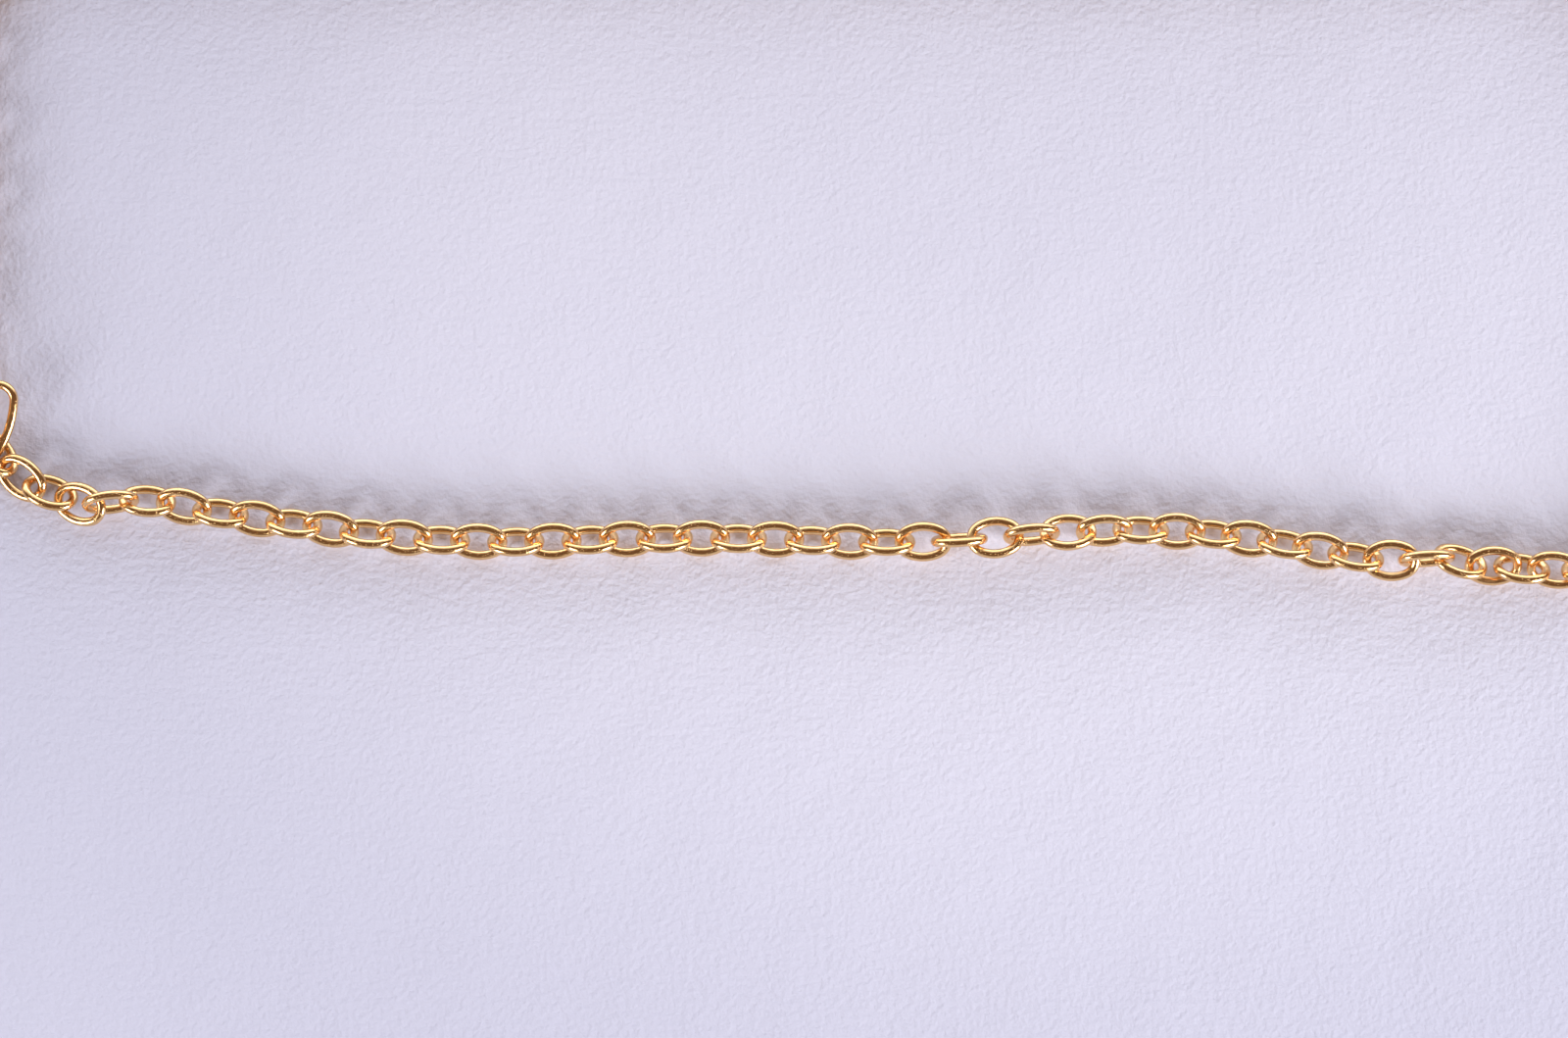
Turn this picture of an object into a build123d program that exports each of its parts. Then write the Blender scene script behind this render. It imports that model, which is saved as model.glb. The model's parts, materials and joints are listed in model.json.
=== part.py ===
from build123d import *
import math
import os

# A fine cable-chain anklet lying in its whole loop on a table, its clasp closed.
# Millimetres, +Z up, +X along the near side of the loop, +Y away from the near side.

# Chain link: an oval ring of round wire
WIRE = 0.52
LINK_LENGTH = 3.24
LINK_WIDTH = 2.45
LINK_END_RADIUS = 0.84
PLAY = 0.11
PITCH = LINK_LENGTH - 2 * WIRE - PLAY
HALF_SPREAD = (LINK_WIDTH - WIRE) / 2

# End ring: a longer oval of round wire that hangs in the chain's first link
RING_WIRE = 0.5
RING_LENGTH = 5.58
RING_WIDTH = 2.78
RING_END_RADIUS = 0.86
RING_CENTRE = (-44.77, 5.19, 1.09)
RING_HEADING, RING_CLIMB, RING_TURN = 66.5, 15.5, 0

# Clasp: one plain oval hoop with an eye at its far end
HOOP_WIRE = 0.8
HOOP_LENGTH = 6.7
HOOP_WIDTH = 3.3
HOOP_END_RADIUS = 1.05
EYE_WIRE = 0.5
EYE_RADIUS = 0.72
EYE_SINK = 0.15
CLASP_CENTRE = (-45.77, 8.40, 1.51)
CLASP_HEADING, CLASP_CLIMB, CLASP_TURN = 102.7, 0, 62

# Links that lie slack, each where it fell: link, x, y, height of its middle,
# heading from +X, climb, turn about its own length
SLACK_LINKS = (
    (0, -44.35, 3.76, 0.95, -52, -2, -42),
    (1, -42.86, 2.35, 0.80, -38, -2, 33),
    (2, -41.24, 1.52, 0.85, -18, -5, -36),
    (3, -39.52, 0.83, 1.02, -20, 13, 22),
    (4, -37.76, 0.89, 1.32, 7, -3, 75),
    (5, -35.73, 1.00, 1.02, -3, -6, -39),
    (39, 34.02, -2.37, 1.08, -2, 8, 27),
    (40, 35.96, -2.31, 1.30, 3, 1, 85),
    (41, 37.89, -2.42, 0.97, -12, -12, -38),
    (42, 39.76, -2.64, 0.83, 0, 0, 36),
    (43, 41.34, -2.82, 0.93, -6, 0, -43),
    (44, 43.22, -2.89, 0.94, -10, 0, 44),
)

# Line of the drawn-out chain, seen from above: x, y
NEAR_FIRST_LINK, NEAR_LINKS = 6, 33
NEAR_LINE = (
    (-34.71, 0.91), (-31.67, 0.32), (-27.52, -0.27), (-23.37, -0.85), (-19.15, -1.21), (-14.94, -1.31),
    (-10.83, -1.18), (-6.62, -1.10), (-2.42, -1.11), (1.68, -1.22), (5.88, -1.34), (9.90, -1.24),
    (14.00, -0.92), (18.13, -0.67), (22.13, -0.69), (26.25, -1.14), (30.25, -1.83), (32.20, -2.21),
    (34.17, -2.35),
)
FAR_FIRST_LINK = 45
FAR_LINE = (
    (44.12, -2.99), (46.50, -2.64), (48.60, -1.55), (50.25, 0.55), (51.55, 4.50), (52.25, 10.00),
    (52.45, 17.00), (51.85, 23.80), (49.55, 28.90), (45.40, 32.45), (39.50, 34.05), (30.00, 34.15),
    (18.00, 33.65), (6.00, 33.85), (-6.00, 34.25), (-18.00, 34.15), (-30.00, 33.95), (-36.80, 34.00),
    (-41.85, 33.40), (-45.45, 30.70), (-46.50, 26.60), (-46.05, 21.00), (-46.10, 16.00), (-46.68, 12.50),
)
FAR_END_HEIGHT = 1.48

# Lie of the drawn-out chain: link, turn of the even links, slack in the step
LIE = (
    (6, 45, 0.00), (20, 45, 0.01), (24, 45, 0.01), (25, 41, 0.02), (26, 36, 0.07), (27, 17, 0.07),
    (28, -9, 0.06), (29, -14, 0.04), (30, -28, 0.04), (31, -34, 0.04), (32, -46, 0.05), (38, -46, 0.08),
    (45, -135, 0.00), (62, -135, 0.00), (68, -225, 0.00), (86, -225, 0.00), (92, -135, 0.00),
    (112, -135, 0.00), (117, -152, 0.00), (118, -152, 0.00),
)

# The chain is made as two halves, each a run of links
BACK_HALF_FIRST_LINK = 58


def oval_ring(length, width, wire, end_radius):
    """A closed oval of round wire, lying flat about the origin with its length along X."""
    half_length = (length - wire) / 2
    half_width = (width - wire) / 2
    reach = half_length - end_radius
    rise = half_width - end_radius
    drop = (reach**2 - rise**2) / (2 * rise)
    side_radius = half_width + drop
    end_half_angle = math.degrees(math.atan2(drop, reach))
    side_angle = 180 - 2 * end_half_angle
    right = CenterArc((reach, 0), end_radius, -end_half_angle, 2 * end_half_angle)
    top = CenterArc((0, -drop), side_radius, end_half_angle, side_angle)
    left = CenterArc((-reach, 0), end_radius, 180 - end_half_angle, 2 * end_half_angle)
    bottom = CenterArc((0, drop), side_radius, 180 + end_half_angle, side_angle)
    path = Wire([right, top, left, bottom])
    section = Plane(origin=path @ 0, z_dir=path % 0) * Circle(wire / 2)
    return sweep(section, path=path).solid()


def along(heading, climb):
    """Direction with a heading from +X and a climb above the table."""
    level = math.cos(math.radians(climb))
    return Vector(
        level * math.cos(math.radians(heading)),
        level * math.sin(math.radians(heading)),
        math.sin(math.radians(climb)),
    )


def lay(centre, axis, turn):
    """Location of a ring whose length lies along an axis, turned about it from lying flat."""
    side = Vector(0, 0, 1).cross(axis).normalized()
    lift = axis.cross(side)
    across = side * math.cos(math.radians(turn)) + lift * math.sin(math.radians(turn))
    return Plane(origin=centre, x_dir=axis, z_dir=axis.cross(across)).location


def lie_at(link, column):
    """A column of the lie table at a link, in straight lines between its rows."""
    for before, after in zip(LIE, LIE[1:]):
        if link <= after[0]:
            share = (link - before[0]) / (after[0] - before[0])
            return before[column] + share * (after[column] - before[column])
    return LIE[-1][column]


def axis_height(link):
    """Height at which a turned link and its neighbour just reach the table."""
    turn = math.radians(lie_at(link, 1))
    return WIRE / 2 + HALF_SPREAD * max(abs(math.sin(turn)), abs(math.cos(turn)))


def near_stations():
    """Distances along the near line at which its links join."""
    stations = [0]
    for link in range(NEAR_FIRST_LINK, NEAR_FIRST_LINK + NEAR_LINKS):
        stations.append(stations[-1] + PITCH - lie_at(link, 2))
    return stations


def far_stations(length):
    """Distances along the far line at which a whole number of links join."""
    count = math.ceil(length / PITCH)
    return [length * joint / count for joint in range(count + 1)]


def joints(line, stations, first_link):
    """Points where the links of a run join, each as high as the taller of the two needs."""
    points = []
    for joint, station in enumerate(stations):
        spot = line.position_at(station, position_mode=PositionMode.LENGTH)
        before = first_link + max(joint - 1, 0)
        after = first_link + min(joint, len(stations) - 2)
        height = max(axis_height(before), axis_height(after))
        points.append(Vector(spot.X, spot.Y, height))
    return points


def drawn_links(points, first_link):
    """Places of a run of drawn-out links, each at right angles to its neighbours."""
    places = {}
    for step, (start, end) in enumerate(zip(points, points[1:])):
        link = first_link + step
        turn = lie_at(link, 1) + 90 * (link % 2)
        places[link] = lay((start + end) * 0.5, (end - start).normalized(), turn)
    return places


def link_places():
    """Location of every link of the chain, by number from the end ring round to the clasp."""
    near = Spline(*NEAR_LINE)
    far = Spline(*FAR_LINE)
    near_points = joints(near, near_stations(), NEAR_FIRST_LINK)
    far_points = joints(far, far_stations(far.length), FAR_FIRST_LINK)
    end = far_points[-1]
    far_points[-1] = Vector(end.X, end.Y, FAR_END_HEIGHT)
    places = drawn_links(near_points, NEAR_FIRST_LINK)
    places.update(drawn_links(far_points, FAR_FIRST_LINK))
    for link, x, y, height, heading, climb, turn in SLACK_LINKS:
        places[link] = lay(Vector(x, y, height), along(heading, climb), turn)
    return places


def end_ring():
    """The long oval ring that hangs in the chain's first link."""
    ring = oval_ring(RING_LENGTH, RING_WIDTH, RING_WIRE, RING_END_RADIUS)
    return lay(Vector(*RING_CENTRE), along(RING_HEADING, RING_CLIMB), RING_TURN) * ring


def clasp():
    """A plain oval hoop with a round eye sunk a little into its far end."""
    hoop = oval_ring(HOOP_LENGTH, HOOP_WIDTH, HOOP_WIRE, HOOP_END_RADIUS)
    eye_reach = HOOP_LENGTH / 2 + EYE_RADIUS - EYE_SINK
    eye = Pos(eye_reach, 0, 0) * Torus(EYE_RADIUS, EYE_WIRE / 2)
    body = (hoop + eye).solid()
    return lay(Vector(*CLASP_CENTRE), along(CLASP_HEADING, CLASP_CLIMB), CLASP_TURN) * body


def build_nodes():
    """Every node of the anklet, still on the table's own axes."""
    link = oval_ring(LINK_LENGTH, LINK_WIDTH, WIRE, LINK_END_RADIUS)
    places = link_places()
    numbers = sorted(places)
    front = [places[n] * link for n in numbers if n < BACK_HALF_FIRST_LINK]
    back = [places[n] * link for n in numbers if n >= BACK_HALF_FIRST_LINK]
    return {
        "chain_front": Compound(front),
        "chain_back": Compound(back),
        "end_ring": end_ring(),
        "clasp": clasp(),
    }


def main():
    nodes = build_nodes()
    box = Compound(list(nodes.values())).bounding_box()
    home = Pos(-(box.min.X + box.max.X) / 2, -(box.min.Y + box.max.Y) / 2, -box.min.Z)
    os.makedirs("parts", exist_ok=True)
    for name, shape in nodes.items():
        export_step(home * shape, f"parts/{name}.step")


main()
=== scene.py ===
import json
import math

import bpy
import numpy as np
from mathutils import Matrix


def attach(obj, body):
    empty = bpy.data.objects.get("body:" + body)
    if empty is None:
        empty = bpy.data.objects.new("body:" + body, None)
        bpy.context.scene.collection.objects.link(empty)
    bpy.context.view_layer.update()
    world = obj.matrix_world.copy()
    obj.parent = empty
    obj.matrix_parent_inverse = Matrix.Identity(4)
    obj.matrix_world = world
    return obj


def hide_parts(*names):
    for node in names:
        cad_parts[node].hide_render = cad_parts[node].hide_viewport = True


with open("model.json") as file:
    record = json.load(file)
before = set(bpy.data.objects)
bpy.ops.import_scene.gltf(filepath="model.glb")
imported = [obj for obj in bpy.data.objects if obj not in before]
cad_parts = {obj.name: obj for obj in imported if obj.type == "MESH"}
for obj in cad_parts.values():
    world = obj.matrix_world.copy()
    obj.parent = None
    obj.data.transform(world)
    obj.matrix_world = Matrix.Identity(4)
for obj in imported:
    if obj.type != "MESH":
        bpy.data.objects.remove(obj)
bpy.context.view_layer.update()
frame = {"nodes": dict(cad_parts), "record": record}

# A fine gold cable-chain anklet lying closed on a sheet of pale paper.
# Every piece is made of oval rings of round wire. Their places are read from the
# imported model, so each new ring lies where its solid lies. Metres, +Z up.

MM = 0.001

# Ring sizes: outside length and width, wire thickness, radius of the end bends. The eye
# is as wide as it is long, so it comes out round, with end bends of no length.
LINK = {"length": 3.24 * MM, "width": 2.45 * MM, "wire": 0.52 * MM, "end": 0.84 * MM}
END_RING = {"length": 5.58 * MM, "width": 2.78 * MM, "wire": 0.5 * MM, "end": 0.86 * MM}
HOOP = {"length": 6.7 * MM, "width": 3.3 * MM, "wire": 0.8 * MM, "end": 1.05 * MM}
EYE = {"length": 1.94 * MM, "width": 1.94 * MM, "wire": 0.5 * MM, "end": 0.5 * MM}

# From the middle of the clasp's hoop to the middle of its eye
EYE_REACH = 3.92 * MM

# Gold: its light and its deep tone
GOLD = (0.89, 0.59, 0.29, 1)
DEEP_GOLD = (0.84, 0.515, 0.22, 1)

# Marks of wear: how many there are in a wire thickness along the wire and round it, the
# detail of their noise, and the values of it where a mark begins and where it is full
DRAWING_LINES = {"along": 0.7, "round_wire": 6.0, "detail": 2, "begins": 0.3, "full": 0.7}
RUBS = {"along": 6.0, "round_wire": 1.5, "detail": 3, "begins": 0.5, "full": 0.8}
PITS = {"along": 6.0, "round_wire": 12.0, "detail": 1, "begins": 0.64, "full": 0.78}
CLOUDS = {"along": 0.8, "round_wire": 0.8, "detail": 2, "begins": 0.3, "full": 0.7}

# Height of the marks, each kind's height or depth in multiples of it, and the roughness
# that clouds add
WEAR_HEIGHT = 0.003 * MM
LINE_HEIGHT = 0.25
RUB_HEIGHT = 0.6
PIT_DEPTH = 1.4
CLOUD_ROUGHNESS = 0.03

# Each ring takes its marks this many wire thicknesses further on than the ring before
# it, and its tone from random numbers with this seed
MARKS_STEP = 37.0
TONE_SEED = 7

# Paper: the tones of its clouds and of its painted shade away from the light spot, half its side,
# how far below the anklet it lies, and the values of the clouds' noise where the light tone begins and is
# full
PAPER_LIGHT = (0.775, 0.775, 0.915, 1)
PAPER_SHADE = (0.76, 0.76, 0.905, 1)
PAPER_PAINTED_SHADE = (0.645, 0.65, 0.8, 1)
PAPER_HALF = 2.0
PAPER_DROP = 0.01 * MM
CLOUD_FADE = (0.3, 0.7)

# Tooth, cockles and clouds of the paper as noise cells in a metre, the height of the
# cockles, and the tooth's height as a share of theirs
TOOTH_SCALE = 2600
COCKLE_SCALE = 120
CLOUD_SCALE = 25
COCKLE_HEIGHT = 0.3 * MM
TOOTH_SHARE = 0.34

# Painted light fall-off: the paper is painted palest in an oval round this spot, as if lit most there,
# and painted darker between two distances from it. Distances in Y count this many times over.
PAINTED_LIGHT_SPOT = (12 * MM, -4 * MM)
LIGHT_SPOT_SQUEEZE = 1.3
LIGHT_SPOT_FADE = (26 * MM, 66 * MM)

# Camera: the point that it looks at, its azimuth and elevation in degrees, its distance,
# and its lens and sensor in millimetres
VIEW_TARGET = np.array([-2.8792, -15.7828, 0.9]) * MM
VIEW_AZIMUTH = -90
VIEW_ELEVATION = 81
VIEW_DISTANCE = 290 * MM
LENS_LENGTH = 118.64
SENSOR_WIDTH = 36

# Lamps: name, azimuth and elevation in degrees, distance, (width, height), power in watts
LAMPS = (
    ("front_right_lamp", 322, 19.5, 0.5, (0.24, 0.17), 2.62),
    ("front_left_lamp", 212, 23, 0.4, (0.17, 0.14), 0.87),
)
LAMP_COLOUR = (0.97, 0.98, 1.0)

# Room: the far wall low down and high up, the strip on the near side, and the rest
LOW_WALL = (3.1, 3.2, 3.4, 1)
HIGH_WALL = (1.1, 1.15, 1.2, 1)
NEAR_STRIP = (0.6, 0.62, 0.65, 1)
DARK_ROOM = (0.17, 0.105, 0.075, 1)

# Where they fade into one another, as the Y or the Z of a unit direction
WALL_SIDE = (0.3, 0.8)
WALL_RISE = (0.35, 0.55)
STRIP_SIDE = (-0.2, -0.5)
STRIP_RISE = (0.2, 0.45)


# ---------------------------------------------------------------- shapes


def oval_line(ring, steps):
    """Middle line of an oval ring and its outward direction, at even steps of length.

    Each of its four arcs is centre + radius * (cos a, sin a), where a is the outward
    angle. The end arcs sit on the length axis and the longer side arcs on the width axis.
    """
    half_length = (ring["length"] - ring["wire"]) / 2
    half_width = (ring["width"] - ring["wire"]) / 2
    reach = half_length - ring["end"]
    rise = half_width - ring["end"]
    drop = (reach**2 - rise**2) / (2 * rise)
    side = half_width + drop
    turn = math.atan2(drop, reach)
    knots = np.array([0, turn, math.pi - turn, math.pi + turn, 2 * math.pi - turn, 2 * math.pi])
    radii = np.array([ring["end"], side, ring["end"], side, ring["end"]])
    distance = np.concatenate([[0], np.cumsum(np.diff(knots) * radii)])
    angle = np.interp(np.arange(steps) / steps * distance[-1], distance, knots)
    at_end = np.abs(np.cos(angle)) > math.cos(turn)
    radius = np.where(at_end, ring["end"], side)
    outward = np.stack([np.cos(angle), np.sin(angle), np.zeros(steps)], 1)
    centre = np.zeros((steps, 3))
    centre[:, 0] = np.where(at_end, np.sign(outward[:, 0]) * reach, 0)
    centre[:, 1] = np.where(at_end, 0, -np.sign(outward[:, 1]) * drop)
    return centre + radius[:, None] * outward, outward, distance[-1]


def wire_ring(ring, steps, sides):
    """Skin of an oval ring: middle line + wire radius * (cos b * outward + sin b * Z).

    b runs once round the wire. Returns the points as a steps x sides x 3 array and the
    length of the middle line.
    """
    line, outward, length = oval_line(ring, steps)
    b = (np.arange(sides) / sides * 2 * math.pi)[None, :, None]
    round_wire = np.cos(b) * outward[:, None, :] + np.sin(b) * np.array([0, 0, 1])
    return line[:, None, :] + ring["wire"] / 2 * round_wire, length


def ring_piece(name, lies, ring, steps, sides):
    """One mesh of many rings: centre + x * long side + y * width side + z * normal.

    lies is (centres, axes), where the rows of each 3 x 3 set of axes are the long side,
    the width side and the normal. The map runs in wire thicknesses along and round the
    wire, and link_tone is one value from 0 to 1 for each ring.
    """
    centres, axes = lies
    count = len(centres)
    skin, length = wire_ring(ring, steps, sides)
    points = centres[:, None, None, :] + np.einsum("uvk,nkj->nuvj", skin, axes)
    u, v = np.meshgrid(np.arange(steps), np.arange(sides), indexing="ij")
    u_next, v_next = (u + 1) % steps, (v + 1) % sides
    quads = np.stack([u * sides + v, u_next * sides + v, u_next * sides + v_next, u * sides + v_next], -1)
    start = (np.arange(count) * steps * sides)[:, None, None]
    faces = (quads.reshape(1, -1, 4) + start).reshape(-1, 4)
    along = np.stack([u, u + 1, u + 1, u], -1) / steps * length / ring["wire"]
    around = np.stack([v, v, v + 1, v + 1], -1) / sides * math.pi
    wire_map = np.tile(np.stack([along, around], -1).reshape(1, -1, 2), (count, 1, 1))
    wire_map[:, :, 0] += MARKS_STEP * np.arange(count)[:, None]
    tone = np.repeat(np.random.default_rng(TONE_SEED).random(count), steps * sides)
    return mesh_piece(name, points.reshape(-1, 3), faces, wire_map.reshape(-1, 2), tone)


def mesh_piece(name, points, faces, wire_map, tone):
    """A smooth mesh object from arrays of points, four-sided faces, corner map and tone."""
    mesh = bpy.data.meshes.new(name)
    mesh.vertices.add(len(points))
    mesh.vertices.foreach_set("co", points.astype(np.float32).ravel())
    mesh.loops.add(faces.size)
    mesh.loops.foreach_set("vertex_index", faces.astype(np.int32).ravel())
    mesh.polygons.add(len(faces))
    mesh.polygons.foreach_set("loop_start", np.arange(0, faces.size, 4, dtype=np.int32))
    mesh.update(calc_edges=True)
    mesh.polygons.foreach_set("use_smooth", np.ones(len(faces), bool))
    layer = mesh.uv_layers.new(name="wire_map")
    layer.data.foreach_set("uv", wire_map.astype(np.float32).ravel())
    attribute = mesh.attributes.new("link_tone", "FLOAT", "POINT")
    attribute.data.foreach_set("value", tone.astype(np.float32))
    mesh.validate()
    return placed(name, mesh)


def placed(name, data):
    """A new object of the scene for a mesh, a lamp or a camera."""
    piece = bpy.data.objects.new(name, data)
    bpy.context.scene.collection.objects.link(piece)
    return piece


# ---------------------------------------------------------------- where each ring lies


def node_triangles(name):
    """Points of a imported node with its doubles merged, and its triangles as point numbers."""
    mesh = frame["nodes"][name].data
    points = np.empty(len(mesh.vertices) * 3, np.float32)
    mesh.vertices.foreach_get("co", points)
    corners = np.empty(len(mesh.loops), np.int32)
    mesh.loops.foreach_get("vertex_index", corners)
    rounded = np.round(points.reshape(-1, 3).astype(float), 7)
    merged, number = np.unique(rounded, axis=0, return_inverse=True)
    return merged, number.ravel()[corners].reshape(-1, 3)


def solid_labels(triangles, count):
    """One label for each point, the same all over a solid: the lowest point number it reaches."""
    label = np.arange(count)
    while True:
        lowest = label[triangles].min(1)
        new = label.copy()
        np.minimum.at(new, triangles.ravel(), np.repeat(lowest, 3))
        new = new[new]
        if np.array_equal(new, label):
            return label
        label = new


def ring_lies(name):
    """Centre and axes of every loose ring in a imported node.

    The centre is the mean of the skin weighed by area. The axes are the directions of
    greatest, middle and least spread of the skin: its length, its width and its normal.
    """
    points, triangles = node_triangles(name)
    label = solid_labels(triangles, len(points))[triangles[:, 0]]
    kinds, solid = np.unique(label, return_inverse=True)
    corner = points[triangles]
    middle = corner.mean(1)
    area = np.linalg.norm(np.cross(corner[:, 1] - corner[:, 0], corner[:, 2] - corner[:, 0]), axis=1) / 2
    weight = np.bincount(solid, area)
    centres = np.stack([np.bincount(solid, area * middle[:, k]) / weight for k in range(3)], 1)
    away = middle - centres[solid]
    spread = np.empty((len(kinds), 3, 3))
    for i in range(3):
        for j in range(3):
            spread[:, i, j] = np.bincount(solid, area * away[:, i] * away[:, j]) / weight
    axes = np.linalg.eigh(spread)[1].transpose(0, 2, 1)[:, ::-1]
    axes[:, 2] = np.cross(axes[:, 0], axes[:, 1])
    return centres, axes


def joined(name, first, second):
    """The union of two closed pieces that overlap, as one piece."""
    union = first.modifiers.new("union", "BOOLEAN")
    union.operation, union.solver, union.object = "UNION", "EXACT", second
    mesh = bpy.data.meshes.new_from_object(first.evaluated_get(bpy.context.evaluated_depsgraph_get()))
    for piece in (first, second):
        bpy.data.objects.remove(piece)
    mesh.name = name
    return placed(name, mesh)


def clasp_piece(name):
    """The hoop, centred on its mount, and the eye at the end that the rest of the solid leans to."""
    mount = next(m for m in frame["record"]["mounts"] if m["name"] == "clasp_hoop")
    middle = np.array(mount["pos_m"])
    centres, axes = ring_lies("clasp")
    to_eye = axes[0, 0] * np.sign(axes[0, 0] @ (centres[0] - middle))
    hoop = ring_piece("hoop", (middle[None], axes), HOOP, steps=96, sides=24)
    eye = ring_piece("eye", ((middle + EYE_REACH * to_eye)[None], axes), EYE, steps=48, sides=16)
    return joined(name, hoop, eye)


# ---------------------------------------------------------------- finishes


class Graph:
    """Short ways to add and join the nodes of one node tree."""

    def __init__(self, tree):
        self.tree, self.nodes, self.links = tree, tree.nodes, tree.links

    def add(self, kind, values=(), **settings):
        """A node with its settings, and its named sockets set to values or joined to sockets."""
        node = self.nodes.new(kind)
        for key, value in settings.items():
            setattr(node, key, value)
        for key, value in dict(values).items():
            self.feed(node.inputs[key], value)
        return node

    def feed(self, socket, value):
        """Join an input socket to another node's output, or set it to a plain value."""
        if isinstance(value, bpy.types.NodeSocket):
            self.links.new(value, socket)
        else:
            socket.default_value = value

    def math(self, operation, a, b=0.0):
        """Result of a maths node."""
        return self.add("ShaderNodeMath", {0: a, 1: b}, operation=operation).outputs[0]

    def level(self, value, low, high):
        """Value taken smoothly from low..high to 0..1, where low may be the greater."""
        values = {"Value": value, "From Min": low, "From Max": high}
        return self.add("ShaderNodeMapRange", values, interpolation_type="SMOOTHSTEP").outputs["Result"]

    def blend(self, factor, a, b):
        """Mix of two colours. A colour mix keeps them in sockets 6 and 7 and its result in 2."""
        return self.add("ShaderNodeMix", {0: factor, 6: a, 7: b}, data_type="RGBA").outputs[2]

    def noise(self, vector, scale, detail, dimensions="3D"):
        """Value of a noise pattern."""
        values = {"Vector": vector, "Scale": scale, "Detail": detail}
        return self.add("ShaderNodeTexNoise", values, noise_dimensions=dimensions).outputs["Fac"]

    def marks(self, wire, along, round_wire, detail, begins, full):
        """Mask of marks on the wire: noise of a stretched wire map, from begins..full to 0..1."""
        stretched = self.add("ShaderNodeMapping", {"Vector": wire, "Scale": (along, round_wire, 1)})
        return self.level(self.noise(stretched.outputs["Vector"], 1, detail, "2D"), begins, full)


def new_group(name, inputs, outputs):
    """A node group with its sockets, as (graph, input node's sockets, output node's sockets)."""
    tree = bpy.data.node_groups.new(name, "ShaderNodeTree")
    for socket, kind, value in inputs:
        made = tree.interface.new_socket(name=socket, in_out="INPUT", socket_type="NodeSocket" + kind)
        if value is not None:
            made.default_value = value
    for socket, kind in outputs:
        tree.interface.new_socket(name=socket, in_out="OUTPUT", socket_type="NodeSocket" + kind)
    graph = Graph(tree)
    return graph, graph.add("NodeGroupInput").outputs, graph.add("NodeGroupOutput").inputs


def worn_polish():
    """Node group: polished wire with drawing lines along it, fine rubs across it and tiny pits."""
    inputs = (
        ("Wire map", "Vector", None),
        ("Tone", "Float", 0.5),
        ("Metal", "Color", None),
        ("Deep metal", "Color", None),
        ("Polish", "Float", 0.12),
        ("Rub", "Float", 0.1),
        ("Depth", "Float", 1.0),
    )
    outputs = (("Color", "Color"), ("Roughness", "Float"), ("Normal", "Vector"))
    g, given, made = new_group("worn_polish", inputs, outputs)
    drawn, rubbed, pitted, clouded = (
        g.marks(given["Wire map"], **kind) for kind in (DRAWING_LINES, RUBS, PITS, CLOUDS)
    )
    height = g.math("ADD", g.math("MULTIPLY", drawn, LINE_HEIGHT), g.math("MULTIPLY", rubbed, RUB_HEIGHT))
    height = g.math("SUBTRACT", height, g.math("MULTIPLY", pitted, PIT_DEPTH))
    distance = g.math("MULTIPLY", given["Depth"], WEAR_HEIGHT)
    bump = g.add("ShaderNodeBump", {"Height": height, "Distance": distance})
    rough = g.math("ADD", given["Polish"], g.math("MULTIPLY", rubbed, given["Rub"]))
    shade = g.math("MULTIPLY", g.math("ADD", given["Tone"], clouded), 0.5)
    g.feed(made["Roughness"], g.math("ADD", rough, g.math("MULTIPLY", clouded, CLOUD_ROUGHNESS)))
    g.feed(made["Normal"], bump.outputs["Normal"])
    g.feed(made["Color"], g.blend(shade, given["Metal"], given["Deep metal"]))
    return g.tree


def new_material(name):
    """An empty material, as (material, graph, its Principled shader)."""
    material = bpy.data.materials.new(name)
    material.use_nodes = True
    return material, Graph(material.node_tree), material.node_tree.nodes["Principled BSDF"]


def gold(name, group, polish, rub, depth):
    """Worn gold. Polish is its roughness, rub what rubs add to that, and depth scales the marks."""
    material, g, shader = new_material(name)
    finish = g.add("ShaderNodeGroup", node_tree=group)
    values = {
        "Wire map": g.add("ShaderNodeUVMap", uv_map="wire_map").outputs["UV"],
        "Tone": g.add("ShaderNodeAttribute", attribute_name="link_tone").outputs["Fac"],
        "Metal": GOLD,
        "Deep metal": DEEP_GOLD,
        "Polish": polish,
        "Rub": rub,
        "Depth": depth,
    }
    for key, value in values.items():
        g.feed(finish.inputs[key], value)
    g.feed(shader.inputs["Metallic"], 1.0)
    g.feed(shader.inputs["Base Color"], finish.outputs["Color"])
    g.feed(shader.inputs["Roughness"], finish.outputs["Roughness"])
    g.feed(shader.inputs["Normal"], finish.outputs["Normal"])
    return material


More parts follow.
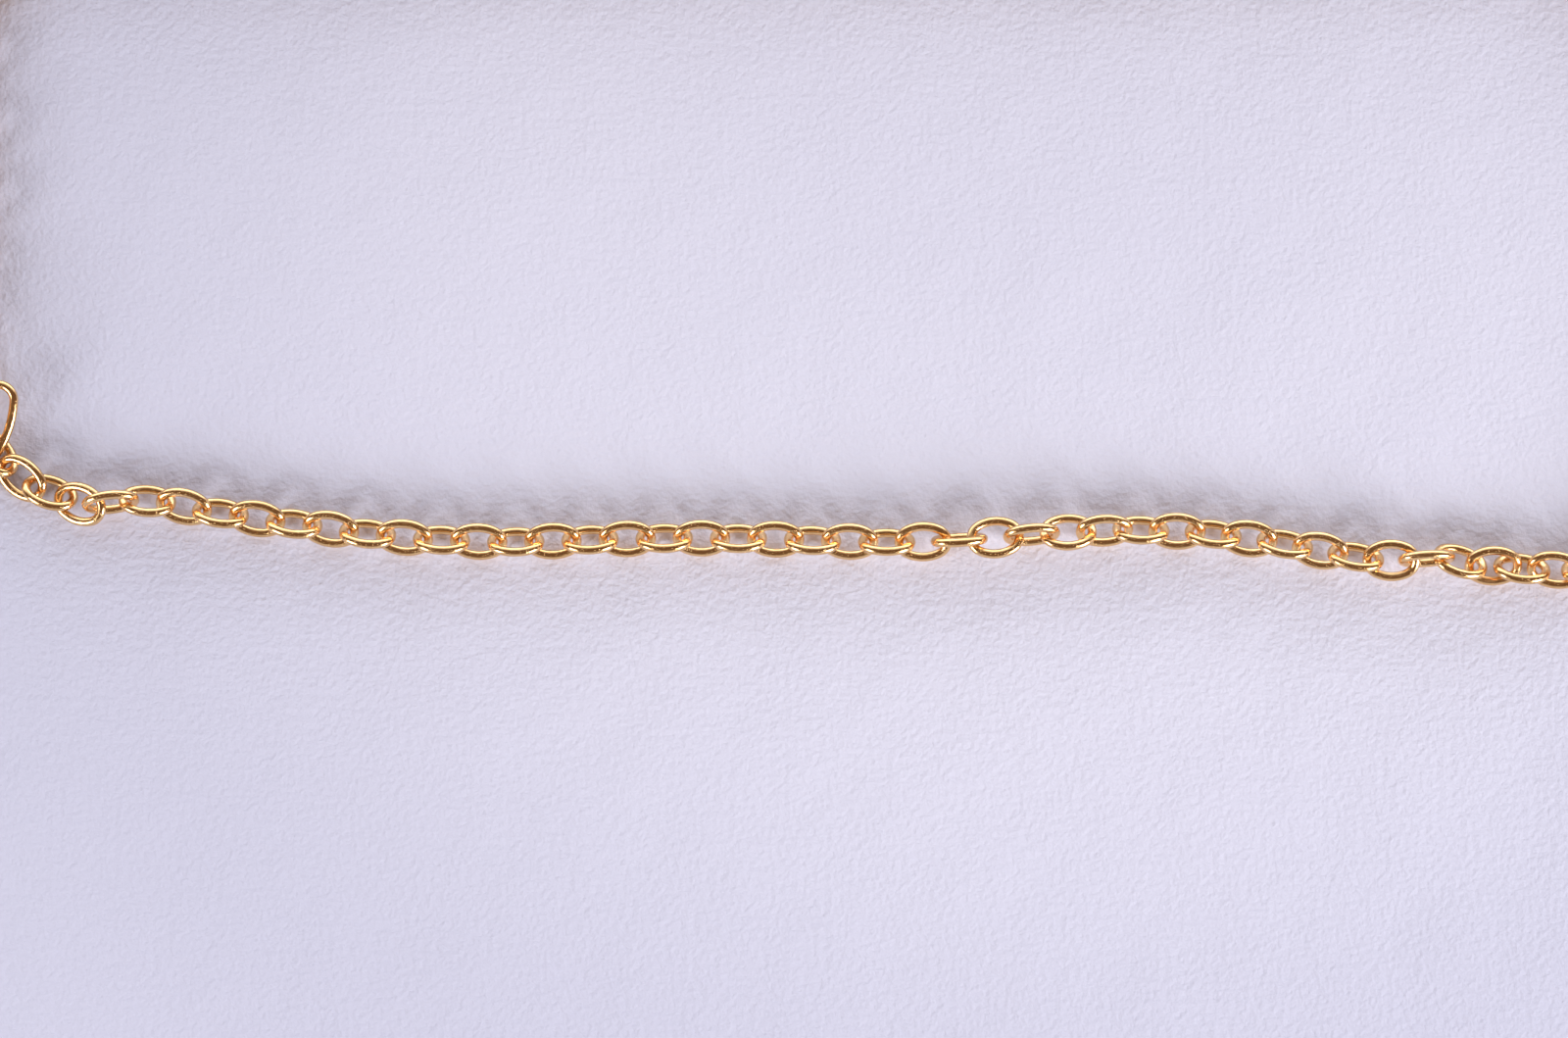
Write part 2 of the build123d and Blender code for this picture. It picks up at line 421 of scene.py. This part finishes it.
def paper():
    """Pale lavender-white drawing paper with a fine tooth and slight cockles, and painted shade darker away
    from a spot.
    """
    material, g, shader = new_material("pale_paper")
    place = g.add("ShaderNodeTexCoord").outputs["Object"]
    tooth = g.noise(place, TOOTH_SCALE, detail=3)
    cockle = g.noise(place, COCKLE_SCALE, detail=3)
    height = g.math("ADD", g.math("MULTIPLY", tooth, TOOTH_SHARE), cockle)
    bump = g.add("ShaderNodeBump", {"Height": height, "Distance": COCKLE_HEIGHT})
    cloud = g.level(g.noise(place, CLOUD_SCALE, detail=3), *CLOUD_FADE)
    sheet = g.blend(cloud, PAPER_SHADE, PAPER_LIGHT)
    # Painted light fall-off: the colour goes from the sheet's tone to painted shade with distance from the
    # light spot
    to_spot = (-PAINTED_LIGHT_SPOT[0], -PAINTED_LIGHT_SPOT[1] * LIGHT_SPOT_SQUEEZE, 0)
    oval = g.add("ShaderNodeMapping", {"Vector": place, "Location": to_spot, "Scale": (1, LIGHT_SPOT_SQUEEZE, 1)})
    away = g.add("ShaderNodeVectorMath", {0: oval.outputs["Vector"]}, operation="LENGTH").outputs["Value"]
    g.feed(shader.inputs["Base Color"], g.blend(g.level(away, *LIGHT_SPOT_FADE), sheet, PAPER_PAINTED_SHADE))
    g.feed(shader.inputs["Normal"], bump.outputs["Normal"])
    g.feed(shader.inputs["Roughness"], 0.9)
    g.feed(shader.inputs["Specular IOR Level"], 0.2)
    return material


# ---------------------------------------------------------------- the anklet

polish = worn_polish()
chain_gold = gold("chain_gold", polish, polish=0.13, rub=0.12, depth=1.0)
ring_gold = gold("ring_gold", polish, polish=0.13, rub=0.1, depth=0.7)

front = ring_piece("front_chain", ring_lies("chain_front"), LINK, steps=48, sides=16)
back = ring_piece("back_chain", ring_lies("chain_back"), LINK, steps=40, sides=12)
ring = ring_piece("ring", ring_lies("end_ring"), END_RING, steps=96, sides=24)
clasp = clasp_piece("closed_clasp")
for piece, node, slot, material in (
    (front, "chain_front", "gold_chain", chain_gold),
    (back, "chain_back", "gold_chain", chain_gold),
    (ring, "end_ring", "gold_ring", ring_gold),
    (clasp, "clasp", "gold_clasp", ring_gold),
):
    piece.data.materials.append(material)
    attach(piece, "root")
    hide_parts(node)


# ---------------------------------------------------------------- table, light and camera


def floor_sheet(half, material):
    """A flat square sheet just under the anklet, with corners at plus and minus half in X and Y."""
    corners = np.array([(-1, -1, 0), (1, -1, 0), (1, 1, 0), (-1, 1, 0)], float) * half
    corners[:, 2] = -PAPER_DROP
    mesh = bpy.data.meshes.new("paper_sheet")
    mesh.from_pydata(corners.tolist(), [], [(0, 1, 2, 3)])
    mesh.materials.append(material)
    return placed("paper_sheet", mesh)


def direction(azimuth, elevation):
    """Unit vector (cos e cos a, cos e sin a, sin e), with a from +X towards +Y. In degrees."""
    a, e = math.radians(azimuth), math.radians(elevation)
    return np.array([math.cos(e) * math.cos(a), math.cos(e) * math.sin(a), math.sin(e)])


def face_chain(item, azimuth, elevation, distance):
    """Put a lamp or a camera at a distance in a direction, looking back at the chain."""
    item.location = VIEW_TARGET + distance * direction(azimuth, elevation)
    item.rotation_euler = (math.radians(90 - elevation), 0, math.radians(azimuth + 90))


def soft_lamp(name, azimuth, elevation, distance, size, power):
    """A lamp of some width and height that faces the chain."""
    data = bpy.data.lights.new(name, "AREA")
    data.shape, data.energy, data.color = "RECTANGLE", power, LAMP_COLOUR
    data.size, data.size_y = size
    face_chain(placed(name, data), azimuth, elevation, distance)


def room():
    """World: a pale far wall, paler low down, and a low strip near by, in a dark brown room."""
    world = bpy.data.worlds.new("room")
    bpy.context.scene.world = world
    world.use_nodes = True
    g = Graph(world.node_tree)
    way = g.add("ShaderNodeTexCoord").outputs["Generated"]
    split = g.add("ShaderNodeSeparateXYZ", {"Vector": way}).outputs
    wall = g.blend(g.level(split["Z"], *WALL_RISE), LOW_WALL, HIGH_WALL)
    near = g.blend(g.level(split["Z"], *STRIP_RISE), NEAR_STRIP, DARK_ROOM)
    room_light = g.blend(g.level(split["Y"], *STRIP_SIDE), DARK_ROOM, near)
    light = g.blend(g.level(split["Y"], *WALL_SIDE), room_light, wall)
    g.feed(world.node_tree.nodes["Background"].inputs["Color"], light)


def camera_above():
    """A camera that looks steeply down at the near side of the loop, with +Y up in its view."""
    lens = bpy.data.cameras.new("camera")
    lens.lens, lens.sensor_width = LENS_LENGTH, SENSOR_WIDTH
    lens.clip_start, lens.clip_end = 0.01, 10
    camera = placed("camera", lens)
    face_chain(camera, VIEW_AZIMUTH, VIEW_ELEVATION, VIEW_DISTANCE)
    bpy.context.scene.camera = camera


floor_sheet(PAPER_HALF, paper())
for lamp in LAMPS:
    soft_lamp(*lamp)
room()
camera_above()
bpy.context.scene.view_settings.view_transform = "Standard"
